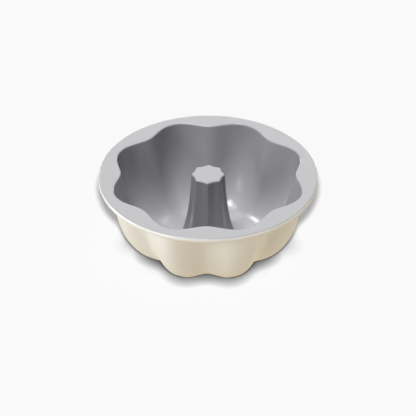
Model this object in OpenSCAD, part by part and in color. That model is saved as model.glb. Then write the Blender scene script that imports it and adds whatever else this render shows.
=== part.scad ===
// Fluted ring cake pan: a pressed steel shell with a wired rim, a closed centre tube let into it, and two
// ceramic coats. Millimetres, +Z up, origin on the table under the middle. A wall valley faces -Y.

/* [Pan] */
// Diameter over the rolled rim
rim_d = 260; // [250:1:275]
// Height from the table to the top of the rim
pan_h = 101; // [95:1:108]
// Number of lobes round the wall
lobes = 8; // [6:1:10]

/* [Rim] */
// Width of the rolled bead, coats included
bead_w = 4.2; // [3.8:0.1:5]
// Height of the rolled bead, coats included
bead_h = 6; // [5:0.1:7]
// Angle down the bead's crown at which the inner coat gives way to the outer one
coat_split = 34; // [20:1:44]
// Radius of the bend from the rim into the wall
edge_r = 1.8; // [1.8:0.1:4]

/* [Wall] */
// Width of the rim in the middle of a lobe, from its edge to the opening
rim_w = 13.8; // [10:0.1:18]
// How far a valley between lobes stands in from the lobes at the opening
valley_inset = 12.4; // [6:0.1:18]
// How much narrower the valleys are than the lobes, 0 for a plain sine wave
valley_pinch = 0.16; // [0:0.01:0.3]
// Draft of the upper wall in a lobe, in mm in per mm down
lobe_draft = 0.1; // [0.05:0.005:0.15]
// Draft of the upper wall at a valley
valley_draft = 0.225; // [0.15:0.005:0.3]
// Depth at which the wall starts to round in, in a lobe
lobe_shoulder = 27; // [15:1:35]
// Depth at which the wall starts to round in, at a valley
valley_shoulder = 55; // [40:1:65]

/* [Floor] */
// Radius of the outer edge of the foot pads, where the wall's rounding ends
pad_r = 63; // [58:0.5:70]
// Width of a foot pad across the trough
pad_w = 8; // [4:1:12]
// How far each lobe's foot pad stands below the valleys beside it
pad_drop = 4; // [2:0.2:6]
// How much of each lobe the pad flattens, 1 for none
pad_spread = 1.15; // [1:0.01:1.3]

/* [Tube] */
// Radius over the ribs at the tube's top
tube_top_r = 19.7; // [17:0.1:24]
// Radius over the ribs at the tube's foot
tube_foot_r = 30.6; // [28:0.1:36]
// Depth of the foot below the rim, where the tube starts to round out
tube_foot_depth = 80; // [70:1:84]
// Share of the tube's spread that is an even taper; the rest flares towards the foot
tube_even_taper = 0.43; // [0.2:0.01:0.8]
// Depth of the flutes between ribs at the tube's top
flute_top = 2.2; // [1:0.1:3]
// Depth of the flutes at the tube's foot
flute_foot = 3.2; // [1:0.1:4]
// Roundness of the ribs, 0 for a knife edge
rib_round = 0.18; // [0.1:0.01:0.6]
// Radius of the edge round the tube's closed top
tube_edge_r = 1.8; // [1.5:0.1:2.5]

/* [Sheet and coats] */
// Thickness of the steel
sheet = 0.8; // [0.6:0.1:1]
// Thickness of the release coat on the inside
inner_coat_t = 0.3; // [0.2:0.05:0.4]
// Thickness of the coat on the outside
outer_coat_t = 0.3; // [0.2:0.05:0.4]

/* [Mesh] */
// Columns in each lobe
lobe_columns = 8; // [6:2:8]

/* [Hidden] */
lobe_r = rim_d/2 - rim_w;
valley_r = lobe_r - valley_inset;
steel_top = inner_coat_t;
steel_under = steel_top + sheet;
lap_under = steel_under + sheet;
wall_t = steel_under + outer_coat_t;
bead_r = bead_w/2;
bead_rise = (bead_h - bead_w)/2;
curl_r = bead_r - outer_coat_t;
wire_r = curl_r - sheet;
lobe_depth = pan_h - wall_t;
valley_depth = lobe_depth - pad_drop;
// Angles out from the bead's crown at which the rolled sheet and the coat over it have their points
curl_turns = [45, 90, 135, 180, 225, 270, 300];
coat_turns = [60, 90, 120, 150, 180, 210, 240, 270, 300];
curl_end = curl_turns[len(curl_turns) - 1];
edge_steps = 2;
wall_steps = 7;
foot_steps = 4;
tube_rows = 4;
// Stations of the wetted line: bead crown, edge bend, wall, inner floor, tube
crown = 1;
wall_start = crown + 1 + edge_steps;
floor_start = wall_start + wall_steps + 2;
foot_edge = floor_start + 1;
shell_edge = floor_start + 2;
columns = lobes*lobe_columns;

function mix(a, b, t) = a + (b - a)*t;

// 0 at a valley and 1 in the middle of a lobe
function lobe_wave(a) = let (w = pow(sin(a*lobes/2), 2)) w + valley_pinch*w*(1 - w);

// 0 on a rib of the tube and 1 in the middle of a flute
function flute_wave(a) =
    let (s = sin(a*lobes/2), full = sqrt(1 + pow(rib_round, 2)) - rib_round)
    (sqrt(s*s + pow(rib_round, 2)) - rib_round)/full;

// Depth of the trough's floor, flat over each foot pad
function floor_depth(a) = mix(valley_depth, lobe_depth, min(1, pad_spread*lobe_wave(a)));

// Point of a quarter ellipse, skewed to fit, that leaves start towards corner at 0 and arrives at end at 90
function bend(start, corner, end, u) = corner + (start - corner)*(1 - sin(u)) + (end - corner)*(1 - cos(u));

// Point on the rolled rim's oval section, u degrees out from its crown; r is half the oval's width
function bead_point(r, u) = [rim_d/2 - bead_r + r*sin(u), pan_h - bead_h/2 + (r + bead_rise)*cos(u)];

// The bend from the rim into the wall, tangent to both
function edge_line(r, draft) =
    let (c = [r + edge_r*(sqrt(1 + draft*draft) - draft), pan_h - edge_r], turn = 90 - atan(draft))
    [for (i = [0:edge_steps]) c + edge_r*[-sin(turn*i/edge_steps), cos(turn*i/edge_steps)]];

// The wall from its shoulder down to the foot pad
function wall_line(a) =
    let (w = lobe_wave(a), draft = mix(valley_draft, lobe_draft, w), top_r = mix(valley_r, lobe_r, w),
         shoulder = mix(valley_shoulder, lobe_shoulder, w), depth = floor_depth(a),
         start = [top_r - draft*shoulder, pan_h - shoulder],
         corner = [top_r - draft*depth, pan_h - depth], end = [pad_r, pan_h - depth])
    [for (i = [0:wall_steps]) bend(start, corner, end, 90*i/wall_steps)];

// Radius of the tube at a depth below the rim
function tube_r(a, depth) =
    let (t = depth/tube_foot_depth, spread = tube_even_taper*t + (1 - tube_even_taper)*pow(t, 3))
    mix(tube_top_r, tube_foot_r, spread) - mix(flute_top, flute_foot, t)*flute_wave(a);

// The floor from the foot pad in to the tube's foot
function floor_line(a) =
    let (depth = floor_depth(a), foot = tube_foot_depth, foot_r = tube_r(a, foot),
         slope = foot_r - tube_r(a, foot - 1), start = [foot_r, pan_h - foot],
         corner = [foot_r + slope*(depth - foot), pan_h - depth], end = [pad_r - pad_w, pan_h - depth])
    [for (i = [foot_steps:-1:0]) bend(start, corner, end, 90*i/foot_steps)];

// The tube from above its foot to the middle of its closed top
function tube_line(a) =
    let (top = tube_r(a, tube_edge_r) - tube_edge_r)
    concat(
        [for (i = [1:tube_rows])
            let (d = mix(tube_foot_depth, tube_edge_r, i/tube_rows)) [tube_r(a, d), pan_h - d]],
        [for (u = [45, 90]) [top + tube_edge_r*cos(u), pan_h - tube_edge_r + tube_edge_r*sin(u)]],
        [[0, pan_h]]);

// The whole wetted line at an angle, from the rim to the axis
function wet_line(a) =
    let (w = lobe_wave(a))
    concat(
        [bead_point(bead_r, coat_split), bead_point(bead_r, 0)],
        edge_line(mix(valley_r, lobe_r, w), mix(valley_draft, lobe_draft, w)),
        wall_line(a), floor_line(a), tube_line(a));

// Unit normal at station i of a line, pointing into the metal
function normal(line, i) =
    let (last = len(line) - 1, d = line[min(i + 1, last)] - line[max(i - 1, 0)])
    i == 0 ? [-sin(coat_split), -cos(coat_split)]
        : i <= crown + 1 || i == floor_start - 1 || i == floor_start || i == last ? [0, -1]
        : [-d[1], d[0]]/norm(d);

// Stations first to last of the wetted line, moved into the metal by the depth given for each
function layer(line, first, last, depth) =
    [for (i = [first:first < last ? 1 : -1:last]) line[i] + depth*normal(line, i)];

function curl(r, turns) = [for (u = turns) bead_point(r, u)];

function reversed(list) = [for (i = [len(list) - 1:-1:0]) list[i]];

function xyz(p, a) = [p[0]*sin(a), -p[0]*cos(a), p[1]];

// Solid swept round Z from a section that changes with the angle. A section that starts and ends on the
// axis closes there; any other is a closed loop.
module swept(section) {
    lines = [for (j = [0:columns - 1]) section(j*360/columns)];
    n = len(lines[0]);
    closed_on_axis = lines[0][0][0] == 0;
    points = [for (j = [0:columns - 1], p = lines[j]) xyz(p, j*360/columns)];
    last = n - 1;
    index = function(j, k) closed_on_axis && (k == 0 || k == last) ? k : (j % columns)*n + k % n;
    faces = [for (j = [0:columns - 1], k = [0:closed_on_axis ? last - 1 : last])
        let (a = index(j, k), b = index(j, k + 1), c = index(j + 1, k + 1), d = index(j + 1, k))
        each a == d ? [[a, c, b]] : b == c ? [[a, d, b]]
            : norm(points[a] - points[c]) < norm(points[b] - points[d]) ? [[a, c, b], [a, d, c]]
            : [[a, d, b], [b, d, c]]];
    polyhedron(points, faces);
}

module pan_shell() {
    color([0.62, 0.63, 0.64]) swept(function(a)
        let (line = wet_line(a))
        concat(layer(line, shell_edge, crown, steel_top), curl(curl_r, curl_turns),
            curl(wire_r, reversed(curl_turns)), layer(line, crown, shell_edge, steel_under)));
}

module centre_tube() {
    color([0.66, 0.67, 0.68]) swept(function(a)
        let (line = wet_line(a), axis = len(line) - 1)
        concat(layer(line, axis, shell_edge, steel_top), layer(line, shell_edge, foot_edge, steel_under),
            layer(line, foot_edge, shell_edge, lap_under), layer(line, shell_edge + 1, axis, steel_under)));
}

module rim_wire() {
    color([0.5, 0.5, 0.51]) swept(function(a) curl(wire_r, concat([0], curl_turns)));
}

module inner_coat() {
    color([0.68, 0.69, 0.70]) swept(function(a)
        let (line = wet_line(a), axis = len(line) - 1)
        concat(layer(line, axis, 0, 0), layer(line, 0, axis, steel_top)));
}

module outer_coat() {
    color([0.86, 0.83, 0.75]) swept(function(a)
        let (line = wet_line(a), axis = len(line) - 1)
        concat(layer(line, axis, shell_edge + 1, steel_under), layer(line, shell_edge, foot_edge, lap_under),
            layer(line, foot_edge, crown, steel_under), [bead_point(wire_r, curl_end)],
            curl(curl_r, reversed(curl_turns)),
            [bead_point(curl_r, coat_split), bead_point(bead_r, coat_split)], curl(bead_r, coat_turns),
            layer(line, crown + 1, floor_start, wall_t), layer(line, foot_edge, shell_edge, wall_t + sheet),
            layer(line, shell_edge + 1, axis, wall_t)));
}

pan_shell();
centre_tube();
rim_wire();
inner_coat();
outer_coat();
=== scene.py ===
"""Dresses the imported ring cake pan: smooth coats and sheet over the CAD frame, studio light and camera."""
import math

import bpy
import numpy as np
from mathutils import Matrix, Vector


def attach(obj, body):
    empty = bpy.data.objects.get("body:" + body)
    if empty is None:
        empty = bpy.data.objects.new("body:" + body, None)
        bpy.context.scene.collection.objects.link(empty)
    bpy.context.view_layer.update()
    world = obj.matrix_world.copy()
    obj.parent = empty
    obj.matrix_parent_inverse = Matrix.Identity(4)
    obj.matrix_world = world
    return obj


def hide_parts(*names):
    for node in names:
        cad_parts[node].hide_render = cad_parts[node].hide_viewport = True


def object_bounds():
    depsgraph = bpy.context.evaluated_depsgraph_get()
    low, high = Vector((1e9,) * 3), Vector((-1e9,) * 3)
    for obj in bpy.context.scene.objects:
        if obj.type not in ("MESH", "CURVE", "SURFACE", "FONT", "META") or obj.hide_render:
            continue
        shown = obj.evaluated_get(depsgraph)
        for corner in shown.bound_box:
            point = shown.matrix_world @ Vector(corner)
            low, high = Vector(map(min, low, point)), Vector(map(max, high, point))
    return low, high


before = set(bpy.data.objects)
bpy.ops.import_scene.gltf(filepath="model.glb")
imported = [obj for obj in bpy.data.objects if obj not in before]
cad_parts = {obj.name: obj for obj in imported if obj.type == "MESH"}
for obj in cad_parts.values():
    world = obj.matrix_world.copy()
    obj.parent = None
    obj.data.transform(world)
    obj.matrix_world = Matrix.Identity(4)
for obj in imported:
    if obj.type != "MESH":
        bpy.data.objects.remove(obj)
cad_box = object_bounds()

MM = 0.001

# ---- The pan's sizes, in metres, as in the part's source -------------------------------------------
RIM_D = 260*MM
PAN_H = cad_box[1][2]
LOBES = 8
BEAD_W, BEAD_H = 4.2*MM, 6*MM
COAT_SPLIT = math.radians(34)
EDGE_R = 1.8*MM
LOBE_R, VALLEY_R, VALLEY_PINCH = 116.2*MM, 103.8*MM, 0.16
LOBE_DRAFT, VALLEY_DRAFT = 0.1, 0.225
LOBE_SHOULDER, VALLEY_SHOULDER = 27*MM, 55*MM
PAD_R, PAD_W, PAD_DROP, PAD_SPREAD = 63*MM, 8*MM, 4*MM, 1.15
TUBE_TOP_R, TUBE_FOOT_R, TUBE_FOOT_DEPTH = 19.7*MM, 30.6*MM, 80*MM
TUBE_EVEN_TAPER, TUBE_FLARE_POWER = 0.43, 3
FLUTE_TOP, FLUTE_FOOT, RIB_ROUND = 2.2*MM, 3.2*MM, 0.18
TUBE_EDGE_R = 1.8*MM
SHEET, COAT = 0.8*MM, 0.3*MM

# Depths of the layers below the wetted surface
STEEL_TOP = COAT
STEEL_UNDER = STEEL_TOP + SHEET
LAP_UNDER = STEEL_UNDER + SHEET
WALL = STEEL_UNDER + COAT
BEAD_R = BEAD_W/2
BEAD_RISE = (BEAD_H - BEAD_W)/2
CURL_R = BEAD_R - COAT
WIRE_R = CURL_R - SHEET
LOBE_DEPTH = PAN_H - WALL
VALLEY_DEPTH = LOBE_DEPTH - PAD_DROP

# How finely each stretch of the section is drawn
COLUMNS = 32*LOBES
CROWN_STEPS, RIM_STEPS, EDGE_STEPS, UPPER_STEPS, WALL_STEPS = 4, 6, 8, 6, 36
PAD_STEPS, FOOT_STEPS, TUBE_STEPS, TOP_STEPS, CAP_STEPS = 2, 16, 24, 6, 4


def mix(a, b, t):
    return a + (b - a)*t


# ---- Section of the pan ----------------------------------------------------------------------------
def lobe_wave(a):
    """0 at a valley of the wall and 1 in the middle of a lobe."""
    w = math.sin(a*LOBES/2)**2
    return w + VALLEY_PINCH*w*(1 - w)


def flute_wave(a):
    """0 on a rib of the tube and 1 in the middle of a flute."""
    full = math.hypot(1, RIB_ROUND) - RIB_ROUND
    return (math.hypot(math.sin(a*LOBES/2), RIB_ROUND) - RIB_ROUND)/full


def floor_depth(a):
    return mix(VALLEY_DEPTH, LOBE_DEPTH, min(1, PAD_SPREAD*lobe_wave(a)))


def straight(start, end, steps):
    """Points from start towards end, without end."""
    return [mix(np.array(start), np.array(end), i/steps) for i in range(steps)]


def bend(start, corner, end, steps):
    """A quarter ellipse, skewed to fit, from start towards corner and in to end."""
    start, corner, end = map(np.array, (start, corner, end))
    turns = [math.pi/2*i/steps for i in range(steps + 1)]
    return [corner + (start - corner)*(1 - math.sin(u)) + (end - corner)*(1 - math.cos(u)) for u in turns]


def bead_arc(r, start, end, steps):
    """Points on the rolled rim's oval section, at angles out from its crown, both ends included."""
    turns = [mix(start, end, i/steps) for i in range(steps + 1)]
    centre_r, centre_z = RIM_D/2 - BEAD_R, PAN_H - BEAD_H/2
    return [np.array((centre_r + r*math.sin(u), centre_z + (r + BEAD_RISE)*math.cos(u))) for u in turns]


def tube_r(a, depth):
    t = depth/TUBE_FOOT_DEPTH
    spread = TUBE_EVEN_TAPER*t + (1 - TUBE_EVEN_TAPER)*t**TUBE_FLARE_POWER
    return mix(TUBE_TOP_R, TUBE_FOOT_R, spread) - mix(FLUTE_TOP, FLUTE_FOOT, t)*flute_wave(a)


def rim_part(a):
    """From the bead's crown over the flat rim and its bend to the top of the wall."""
    w = lobe_wave(a)
    draft, top_r = mix(VALLEY_DRAFT, LOBE_DRAFT, w), mix(VALLEY_R, LOBE_R, w)
    centre = np.array((top_r + EDGE_R*(math.hypot(1, draft) - draft), PAN_H - EDGE_R))
    turns = [(math.pi/2 - math.atan(draft))*i/EDGE_STEPS for i in range(EDGE_STEPS + 1)]
    crown = bead_arc(BEAD_R, COAT_SPLIT, 0, CROWN_STEPS)
    flat = straight(crown[-1], centre + (0, EDGE_R), RIM_STEPS)[1:]
    return crown + flat + [centre + EDGE_R*np.array((-math.sin(u), math.cos(u))) for u in turns]


def wall_part(a):
    """Down the wall to the outer edge of the foot pad."""
    w, depth = lobe_wave(a), floor_depth(a)
    draft, top_r = mix(VALLEY_DRAFT, LOBE_DRAFT, w), mix(VALLEY_R, LOBE_R, w)
    shoulder = mix(VALLEY_SHOULDER, LOBE_SHOULDER, w)
    start = (top_r - draft*shoulder, PAN_H - shoulder)
    upper = straight((top_r - draft*EDGE_R, PAN_H - EDGE_R), start, UPPER_STEPS)[1:]
    return upper + bend(start, (top_r - draft*depth, PAN_H - depth), (PAD_R, PAN_H - depth), WALL_STEPS)


def floor_part(a):
    """Across the foot pad and in to the tube's foot."""
    depth, foot_r = floor_depth(a), tube_r(a, TUBE_FOOT_DEPTH)
    slope = (foot_r - tube_r(a, TUBE_FOOT_DEPTH - MM))/MM
    start = (foot_r, PAN_H - TUBE_FOOT_DEPTH)
    corner = (foot_r + slope*(depth - TUBE_FOOT_DEPTH), PAN_H - depth)
    inner_edge = (PAD_R - PAD_W, PAN_H - depth)
    pad = straight((PAD_R, PAN_H - depth), inner_edge, PAD_STEPS)[1:]
    return pad + bend(start, corner, inner_edge, FOOT_STEPS)[::-1]


def tube_part(a):
    """Up the tube, over its edge and in to the axis."""
    depths = [mix(TUBE_FOOT_DEPTH, TUBE_EDGE_R, i/TUBE_STEPS) for i in range(1, TUBE_STEPS + 1)]
    edge = tube_r(a, TUBE_EDGE_R) - TUBE_EDGE_R
    turns = [math.pi/2*i/TOP_STEPS for i in range(1, TOP_STEPS + 1)]
    side = [np.array((tube_r(a, d), PAN_H - d)) for d in depths]
    top = [np.array((edge + TUBE_EDGE_R*math.cos(u), PAN_H - TUBE_EDGE_R*(1 - math.sin(u)))) for u in turns]
    return side + top + straight((edge, PAN_H), (0, PAN_H), CAP_STEPS)[1:] + [np.array((0, PAN_H))]


class Section:
    """The wetted line at one angle, with a normal into the metal at each station."""

    def __init__(self, a):
        parts = [rim_part(a), wall_part(a), floor_part(a), tube_part(a)]
        self.line = np.array(sum(parts, []))
        self.first_floor = len(parts[0]) + len(parts[1])
        self.axis = len(self.line) - 1
        step = np.empty_like(self.line)
        step[1:-1] = self.line[2:] - self.line[:-2]
        step[0] = self.line[1] - self.line[0]
        step[-1] = (-1, 0)
        normal = np.stack((-step[:, 1], step[:, 0]), 1)
        normal /= np.linalg.norm(normal, axis=1)[:, None]
        normal[0] = (-math.sin(COAT_SPLIT), -math.cos(COAT_SPLIT))
        pad = slice(self.first_floor - 1, self.first_floor + PAD_STEPS)
        normal[pad] = normal[CROWN_STEPS] = (0, -1)
        self.normal = normal

    def layer(self, first, last, depth):
        """Stations first to last, moved into the metal by depth."""
        step = 1 if last >= first else -1
        return [self.line[i] + depth*self.normal[i] for i in range(first, last + step, step)]


SECTIONS = [Section(2*math.pi*j/COLUMNS) for j in range(COLUMNS)]
AXIS = SECTIONS[0].axis
# The shell's inner edge is lapped over the tube's foot between these two stations of the floor
LAP_STEPS = FOOT_STEPS//4
FOOT_EDGE = SECTIONS[0].first_floor + PAD_STEPS + LAP_STEPS
SHELL_EDGE = FOOT_EDGE + LAP_STEPS
LAP_RAMP = 2
# A point this near the axis lies on it, and an edge with a turn above this angle is drawn crisp
ON_AXIS = 1e-9
CRISP_TURN = math.radians(50)


def swept(name, path):
    """A closed mesh swept round Z. path(section) gives its outline in (r, z); one that starts and ends on
    the axis closes there, any other is a loop."""
    lines = [path(s) for s in SECTIONS]
    on_axis = abs(lines[0][0][0]) < ON_AXIS
    ring = [line[1:-1] for line in lines] if on_axis else lines
    width = len(ring[0])
    verts = []
    for j, line in enumerate(ring):
        a = 2*math.pi*j/COLUMNS
        verts += [(r*math.sin(a), -r*math.cos(a), z) for r, z in line]
    faces = []
    for j in range(COLUMNS):
        here, beside = j*width, (j + 1) % COLUMNS*width
        for k in range(width - 1 if on_axis else width):
            after = (k + 1) % width
            faces.append((here + k, beside + k, beside + after, here + after))
    if on_axis:
        poles = len(verts)
        verts += [(0, 0, lines[0][0][1]), (0, 0, lines[0][-1][1])]
        for j in range(COLUMNS):
            here, beside = j*width, (j + 1) % COLUMNS*width
            faces.append((poles, beside, here))
            faces.append((poles + 1, here + width - 1, beside + width - 1))
    mesh = bpy.data.meshes.new(name)
    mesh.from_pydata(verts, [], faces)
    mesh.validate()
    mesh.shade_smooth()
    mesh.set_sharp_from_angle(angle=CRISP_TURN)
    piece = bpy.data.objects.new(name, mesh)
    bpy.context.scene.collection.objects.link(piece)
    return piece


# ---- Outlines of the pieces ------------------------------------------------------------------------
CURL_END = math.radians(300)
CURL_STEPS, WIRE_STEPS, BEAD_STEPS, GAP_STEPS = 24, 24, 32, 6


def shell_path(s):
    return (s.layer(SHELL_EDGE, CROWN_STEPS, STEEL_TOP)
            + bead_arc(CURL_R, 0, CURL_END, CURL_STEPS)[1:]
            + bead_arc(WIRE_R, CURL_END, 0, CURL_STEPS)[:-1]
            + s.layer(CROWN_STEPS, SHELL_EDGE, STEEL_UNDER))


def tube_path(s):
    return (s.layer(AXIS, SHELL_EDGE, STEEL_TOP) + s.layer(SHELL_EDGE, FOOT_EDGE, STEEL_UNDER)
            + s.layer(FOOT_EDGE, SHELL_EDGE, LAP_UNDER) + s.layer(SHELL_EDGE + LAP_RAMP, AXIS, STEEL_UNDER))


def wire_path(s):
    return bead_arc(WIRE_R, 0, 2*math.pi, WIRE_STEPS)[:-1]


def inner_coat_path(s):
    return s.layer(AXIS, 0, 0) + s.layer(0, AXIS, STEEL_TOP)


def outer_coat_path(s):
    return (s.layer(AXIS, SHELL_EDGE + LAP_RAMP, STEEL_UNDER) + s.layer(SHELL_EDGE, FOOT_EDGE, LAP_UNDER)
            + s.layer(FOOT_EDGE, CROWN_STEPS + 1, STEEL_UNDER)
            + bead_arc(WIRE_R, 2*math.pi, CURL_END, GAP_STEPS)
            + bead_arc(CURL_R, CURL_END, COAT_SPLIT, CURL_STEPS)
            + bead_arc(BEAD_R, COAT_SPLIT, CURL_END, BEAD_STEPS)
            + s.layer(CROWN_STEPS + 2, FOOT_EDGE - LAP_RAMP, WALL)
            + s.layer(FOOT_EDGE, SHELL_EDGE, WALL + SHEET) + s.layer(SHELL_EDGE + LAP_RAMP, AXIS, WALL))


# ---- Materials -------------------------------------------------------------------------------------
# Sizes of the coats' clouds and peel, and how far the sheen of coat and steel swings round its mean
CLOUD_MM, PEEL_MM, PEEL_HEIGHT_MM = 60, 1.6, 0.004
COAT_SWING, STEEL_SWING = 0.03, 0.08
# Where the painted light of the zones fades out: the painted highlight round the bead's foot, and the painted
# shade below the tube's top and beyond its foot
BEAD_BLEND = 0.4*MM
TUBE_TOP_BLEND, TUBE_FOOT_BLEND = (2*MM, 1*MM), 4*MM


def linear(hex_colour):
    """sRGB hex to a linear RGBA colour."""
    values = [int(hex_colour[i:i + 2], 16)/255 for i in (1, 3, 5)]
    return tuple(v/12.92 if v <= 0.04045 else ((v + 0.055)/1.055)**2.4 for v in values) + (1,)


def add_node(tree, kind, settings=None, slots=None, **inputs):
    """Adds a node, sets its properties, and sets or links its inputs: by number in slots, or by name."""
    node = tree.nodes.new(kind)
    for name, value in (settings or {}).items():
        setattr(node, name, value)
    named = {name.replace("_", " "): value for name, value in inputs.items()}
    for key, value in {**(slots or {}), **named}.items():
        if isinstance(value, bpy.types.NodeSocket):
            tree.links.new(value, node.inputs[key])
        else:
            node.inputs[key].default_value = value
    return node


def new_material(name):
    material = bpy.data.materials.new(name)
    material.use_nodes = True
    material.node_tree.nodes.clear()
    return material, material.node_tree


def per_mm(size_mm):
    """Noise scale at which one cell measures size_mm, for object coordinates in metres."""
    return 1000/size_mm


def sprayed_coat(name, colour, deep_colour, painted_light_colour, zone, roughness):
    """Sol-gel ceramic sprayed on steel and oven cured: an even satin skin with a faint orange peel, and a
    tone that clouds very slightly where the spray passes overlap. In the zone it takes another colour, which
    is painted light: painted shade on the tube's side, and a paler painted highlight on the rolled rim."""
    material, tree = new_material(name)
    place = add_node(tree, "ShaderNodeTexCoord").outputs["Object"]
    cloud = add_node(tree, "ShaderNodeTexNoise", Vector=place, Scale=per_mm(CLOUD_MM), Detail=3.0)
    tone = add_node(tree, "ShaderNodeMix", {"data_type": "RGBA"},
                    {0: cloud.outputs["Fac"], 6: linear(deep_colour), 7: linear(colour)})
    painted_light_tone = add_node(tree, "ShaderNodeMix", {"data_type": "RGBA"},
                     {0: zone(tree, place), 6: tone.outputs[2], 7: linear(painted_light_colour)})
    satin = add_node(tree, "ShaderNodeMapRange", Value=cloud.outputs["Fac"],
                     To_Min=roughness - COAT_SWING, To_Max=roughness + COAT_SWING)
    peel = add_node(tree, "ShaderNodeTexNoise", Vector=place, Scale=per_mm(PEEL_MM), Detail=2.0)
    bump = add_node(tree, "ShaderNodeBump", Height=peel.outputs["Fac"], Distance=PEEL_HEIGHT_MM*MM)
    shader = add_node(tree, "ShaderNodeBsdfPrincipled", Base_Color=painted_light_tone.outputs[2],
                      Roughness=satin.outputs["Result"], Normal=bump.outputs["Normal"], IOR=1.5)
    add_node(tree, "ShaderNodeOutputMaterial", Surface=shader.outputs["BSDF"])
    return material


def on_bead(tree, place):
    """Where the rim's painted highlight goes: 1 on the rolled rim and 0 below it, with a soft edge."""
    height = add_node(tree, "ShaderNodeSeparateXYZ", Vector=place).outputs["Z"]
    edge = PAN_H - BEAD_H
    return add_node(tree, "ShaderNodeMapRange", Value=height, From_Min=edge - BEAD_BLEND,
                    From_Max=edge + BEAD_BLEND).outputs["Result"]


def on_tube(tree, place):
    """Where the tube's painted shade goes: 1 on the tube's side and 0 on its top and beyond its foot, with
    soft edges.
    """
    height = add_node(tree, "ShaderNodeSeparateXYZ", Vector=place).outputs["Z"]
    full, none = TUBE_TOP_BLEND
    below_top = add_node(tree, "ShaderNodeMapRange", Value=height, From_Min=PAN_H - none,
                         From_Max=PAN_H - full)
    flat = add_node(tree, "ShaderNodeVectorMath", {"operation": "MULTIPLY"}, {0: place, 1: (1, 1, 0)})
    radius = add_node(tree, "ShaderNodeVectorMath", {"operation": "LENGTH"}, Vector=flat.outputs["Vector"])
    inside = add_node(tree, "ShaderNodeMapRange", Value=radius.outputs["Value"],
                      From_Min=TUBE_FOOT_R + TUBE_FOOT_BLEND, From_Max=TUBE_FOOT_R,
                      To_Max=below_top.outputs["Result"])
    return inside.outputs["Result"]


def rolled_steel(name, colour, roughness, grain_mm):
    """Cold rolled steel sheet or drawn wire, never seen once coated: dull grey metal with a fine grain."""
    material, tree = new_material(name)
    place = add_node(tree, "ShaderNodeTexCoord").outputs["Object"]
    grain = add_node(tree, "ShaderNodeTexNoise", Vector=place, Scale=per_mm(grain_mm), Detail=4.0)
    satin = add_node(tree, "ShaderNodeMapRange", Value=grain.outputs["Fac"],
                     To_Min=roughness - STEEL_SWING, To_Max=roughness + STEEL_SWING)
    shader = add_node(tree, "ShaderNodeBsdfPrincipled", Base_Color=linear(colour), Metallic=1.0,
                      Roughness=satin.outputs["Result"])
    add_node(tree, "ShaderNodeOutputMaterial", Surface=shader.outputs["BSDF"])
    return material


# The zone colour #969699 is painted shade: the tube's side drawn darker than the coat's own grey, standing in
# for the shade on the tube deep in the pan.
RELEASE_COAT = sprayed_coat("release_ceramic_sprayed_grey", "#aeaeb1", "#ababae", "#969699", on_tube, 0.21)
# The zone colour #ebe3d4 is a painted highlight: the rolled rim drawn a touch paler than the coat's cream,
# for the light it catches and mirrors from below.
CREAM_COAT = sprayed_coat("outer_ceramic_sprayed_cream", "#ebe3d2", "#e8dfcd", "#ebe3d4", on_bead, 0.24)
SHELL_STEEL = rolled_steel("shell_steel_pressed", "#b9babb", 0.4, 0.8)
TUBE_STEEL = rolled_steel("tube_steel_drawn", "#b9babb", 0.4, 0.8)
WIRE_STEEL = rolled_steel("wire_steel_drawn", "#8f9092", 0.45, 0.5)

# ---- Pieces: name, outline, material, the CAD node each stands for and its material slot -----------
PIECES = [
    ("steel_shell_sheet", shell_path, SHELL_STEEL, "pan_shell", "shell_steel"),
    ("steel_tube_sheet", tube_path, TUBE_STEEL, "centre_tube", "tube_steel"),
    ("rim_wire_ring", wire_path, WIRE_STEEL, "rim_wire", "wire_steel"),
    ("grey_release_coat", inner_coat_path, RELEASE_COAT, "inner_coat", "release_ceramic"),
    ("cream_outer_coat", outer_coat_path, CREAM_COAT, "outer_coat", "outer_ceramic"),
]
for name, path, material, node, slot in PIECES:
    piece = swept(name, path)
    piece.data.materials.append(material)
    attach(piece, "root")
    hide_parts(node)

# ---- Camera: a long lens, seen from above the front ------------------------------------------------
IMAGE_SIDE = 416
FOCAL_PX = 1575.1
CAMERA_RISE, CAMERA_AZIMUTH, CAMERA_DISTANCE = 34.467, 0.8, 1.864
RIM_CENTRE = Vector((0, 0, PAN_H))
RIM_CENTRE_PX = (208.17, 173.85)
SENSOR_MM = 36


def towards(rise, azimuth):
    """The direction this far up and round, in degrees; azimuth 0 is the front and 90 the right."""
    rise, azimuth = math.radians(rise), math.radians(azimuth)
    return Vector((math.sin(azimuth)*math.cos(rise), -math.cos(azimuth)*math.cos(rise), math.sin(rise)))


def add_camera():
    """Looks so that the rim's middle falls on RIM_CENTRE_PX of the view."""
    data = bpy.data.cameras.new("camera")
    data.sensor_width = SENSOR_MM
    data.lens = FOCAL_PX/IMAGE_SIDE*SENSOR_MM
    camera = bpy.data.objects.new("camera", data)
    bpy.context.scene.collection.objects.link(camera)
    out = towards(CAMERA_RISE, CAMERA_AZIMUTH)
    camera.location = RIM_CENTRE + CAMERA_DISTANCE*out
    level = (-out).to_track_quat("-Z", "Y")
    right, up = level @ Vector((1, 0, 0)), level @ Vector((0, 1, 0))
    offset_x, offset_y = (IMAGE_SIDE/2 - RIM_CENTRE_PX[0], IMAGE_SIDE/2 - RIM_CENTRE_PX[1])
    aim = -out*FOCAL_PX + right*offset_x - up*offset_y
    camera.rotation_euler = aim.to_track_quat("-Z", "Y").to_euler()
    bpy.context.scene.camera = camera


# ---- Floor and world -------------------------------------------------------------------------------
BACKGROUND = "#f9f9f9"
FLOOR_SIZE = 12
# The board's own light to the camera, and its share of the shadow lamp's light
OPEN_GLOW, SHADOW_SHARE = 0.393, 0.01
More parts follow.
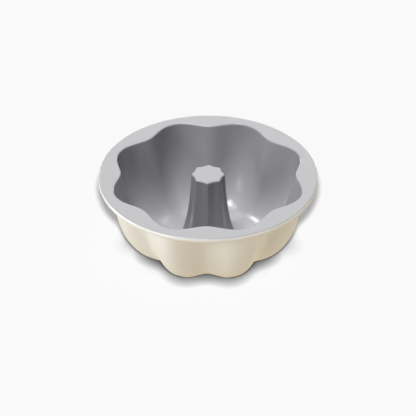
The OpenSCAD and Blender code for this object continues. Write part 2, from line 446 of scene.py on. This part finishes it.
# Painted shadow on the board under the pan and beside it: how far it reaches, where it starts and ends, and
# how deep it is
CONTACT_REACH, CONTACT_START, CONTACT_END, CONTACT_DARK = 0.015, 0.23, 0.919, 0.38
SIDE_REACH, SIDE_START, SIDE_END, SIDE_DARK = 0.042, 0.77, 0.9, 0.34
FRONTWARDS = (0.0, -1.0, 0.05)
AO_SETTINGS = {"samples": 16}
# The board's cream glow of its own, which lights the pan in place of bounced light, and the glow the coats
# mirror of it: painted bounce light and painted reflection
PAINTED_BOUNCE, PAINTED_REFLECTION = (0.64, 0.57, 0.45, 1), (0.72, 0.6, 0.42, 1)
# A little above the camera's line, so that the pan's shadow shows as a narrow edge
SHADOW_RISE, SHADOW_AZIMUTH, SHADOW_REACH = 38.5, 0.8, 1.7
SHADOW_RADIUS, SHADOW_POWER = 0.05, 1889
SHADOW_LAMP = RIM_CENTRE + SHADOW_REACH*towards(SHADOW_RISE, SHADOW_AZIMUTH)
# The lamp's light on the board thins out with this power of the distance
THINNING = 3


def add_floor():
    """A white board. To the camera it shows partly its own light, so that it stays as pale as the backdrop,
    and carries the pan's shadow from the near lamp, deepened by painted shadow where the board comes close to
    the pan and beside it. To the pan it shows a cream glow of its own in place of light thrown back, and the
    coats mirror a deeper cream glow: painted bounce light and painted reflection."""
    bpy.ops.mesh.primitive_plane_add(size=FLOOR_SIZE, location=(0, 0, 0))
    floor = bpy.context.object
    floor.name = "floor"
    material, tree = new_material("matte_white_board")
    multiply = {"operation": "MULTIPLY"}
    # Painted shadow under the pan, from how closely the pan hems the board in
    close = add_node(tree, "ShaderNodeAmbientOcclusion", AO_SETTINGS, Distance=CONTACT_REACH)
    under = add_node(tree, "ShaderNodeMapRange", Value=close.outputs["AO"], From_Min=CONTACT_START,
                     From_Max=CONTACT_END, To_Min=CONTACT_DARK, To_Max=1.0)
    # Painted shadow beside the pan, where it hides part of what lies in front of the board
    x, y, z = FRONTWARDS
    frontwards = add_node(tree, "ShaderNodeCombineXYZ", X=x, Y=y, Z=z)
    hidden = add_node(tree, "ShaderNodeAmbientOcclusion", AO_SETTINGS, Distance=SIDE_REACH,
                      Normal=frontwards.outputs["Vector"])
    beside = add_node(tree, "ShaderNodeMapRange", Value=hidden.outputs["AO"], From_Min=SIDE_START,
                      From_Max=SIDE_END, To_Min=SIDE_DARK, To_Max=1.0)
    # depth is painted shadow: it darkens both the board's own glow and its share of the lamp's light
    depth = add_node(tree, "ShaderNodeMath", multiply,
                     {0: under.outputs["Result"], 1: beside.outputs["Result"]}).outputs["Value"]
    glow = add_node(tree, "ShaderNodeMath", multiply, {0: depth, 1: OPEN_GLOW})
    share = add_node(tree, "ShaderNodeMath", multiply, {0: depth, 1: SHADOW_SHARE})
    # Evens the lamp's light over the board, apart from the shadow
    place = add_node(tree, "ShaderNodeTexCoord").outputs["Object"]
    reach = add_node(tree, "ShaderNodeVectorMath", {"operation": "DISTANCE"}, {0: place, 1: SHADOW_LAMP})
    even = add_node(tree, "ShaderNodeMath", {"operation": "POWER"}, {0: reach.outputs["Value"], 1: THINNING})
    evened = add_node(tree, "ShaderNodeMath", multiply, {0: even.outputs["Value"], 1: share.outputs["Value"]})
    shade = add_node(tree, "ShaderNodeBsdfDiffuse", Color=evened.outputs["Value"])
    shown = add_node(tree, "ShaderNodeEmission", Strength=glow.outputs["Value"])
    both = add_node(tree, "ShaderNodeAddShader", slots={
        0: shade.outputs["BSDF"], 1: shown.outputs["Emission"]})
    path = add_node(tree, "ShaderNodeLightPath")
    tint = add_node(tree, "ShaderNodeMix", {"data_type": "RGBA"},
                    {0: path.outputs["Is Glossy Ray"], 6: PAINTED_BOUNCE, 7: PAINTED_REFLECTION})
    # The glow the pan sees of the board is painted bounce light, and the glow the coats mirror is painted
    # reflection
    painted_glow = add_node(tree, "ShaderNodeEmission", Color=tint.outputs[2], Strength=1.0)
    mixed = add_node(tree, "ShaderNodeMixShader", slots={
        0: path.outputs["Is Camera Ray"], 1: painted_glow.outputs["Emission"], 2: both.outputs["Shader"]})
    add_node(tree, "ShaderNodeOutputMaterial", Surface=mixed.outputs["Shader"])
    floor.data.materials.append(material)
    return floor


def add_world():
    """A white room that gives no light of its own: it is only seen, or mirrored by the coats."""
    world = bpy.data.worlds.new("studio")
    bpy.context.scene.world = world
    world.use_nodes = True
    tree = world.node_tree
    tree.nodes.clear()
    path = add_node(tree, "ShaderNodeLightPath")
    seen = add_node(tree, "ShaderNodeMath", {"operation": "MAXIMUM"},
                    {0: path.outputs["Is Camera Ray"], 1: path.outputs["Is Glossy Ray"]})
    level = add_node(tree, "ShaderNodeMath", {"operation": "MULTIPLY"},
                     {0: seen.outputs["Value"], 1: linear(BACKGROUND)[0]})
    room = add_node(tree, "ShaderNodeBackground", Strength=level.outputs["Value"])
    add_node(tree, "ShaderNodeOutputWorld", Surface=room.outputs["Background"])


# ---- Lamps: name, rise and azimuth, light in red, green and blue, and spread in degrees ------------
INSIDE_LAMPS = [
    ("inside_top", 80, 315, (2.1, 2.1, 2.08), 24),
    ("inside_high_back", 66, 225, (0.66, 0.66, 0.68), 30),
    ("inside_left", 22, 315, (0.68, 0.69, 0.67), 30),
    ("inside_back", 38, 180, (0.25, 0.25, 0.25), 30),
    ("inside_small", 76, 262, (0.3, 0.3, 0.3), 4),
    ("inside_spark", 80, 185, (0.1, 0.1, 0.1), 5),
    ("edge_back_left", 12, 210, (0.4, 0.4, 0.4), 14),
    ("edge_back_right", 12, 150, (0.4, 0.4, 0.4), 14),
]
OUTSIDE_LAMPS = [
    ("outside_top", 80, 315, (1.2, 1.2, 1.2), 24),
    ("outside_left", 7, 270, (1.75, 2.05, 2.6), 30),
    ("outside_front_left", 22, 315, (1.27, 1.42, 1.64), 30),
    ("outside_front_right", 22, 45, (0.54, 0.6, 0.66), 30),
    ("outside_right", 7, 90, (0.6, 0.64, 0.68), 30),
]


def add_lamp(name, data, lit):
    """A lamp that lights only the group lit."""
    lamp = bpy.data.objects.new(name, data)
    lamp.light_linking.receiver_collection = lit
    bpy.context.scene.collection.objects.link(lamp)
    return lamp


def add_softbox(name, rise, azimuth, light, spread, lit):
    """A far, wide lamp that lights only the group lit."""
    data = bpy.data.lights.new(name, "SUN")
    data.energy, data.angle = max(light), math.radians(spread)
    data.color = [v/max(light) for v in light]
    lamp = add_lamp(name, data, lit)
    lamp.rotation_euler = towards(rise, azimuth).to_track_quat("Z", "Y").to_euler()


def add_shadow_lamp(name, lit):
    """A near, round lamp that gives the group lit its light and the pan's shadow."""
    data = bpy.data.lights.new(name, "POINT")
    data.energy, data.shadow_soft_size = SHADOW_POWER, SHADOW_RADIUS
    add_lamp(name, data, lit).location = SHADOW_LAMP


def group(name, piece):
    """A named group with one piece for the lamps to light."""
    lit = bpy.data.collections.new(name)
    lit.objects.link(piece)
    return lit


add_camera()
inside = group("inside", bpy.data.objects["grey_release_coat"])
outside = group("outside", bpy.data.objects["cream_outer_coat"])
board = group("board", add_floor())
add_world()
for lamps, lit in ((INSIDE_LAMPS, inside), (OUTSIDE_LAMPS, outside)):
    for lamp in lamps:
        add_softbox(*lamp, lit)
add_shadow_lamp("shadow_near", board)

bpy.context.scene.view_settings.view_transform = "Standard"
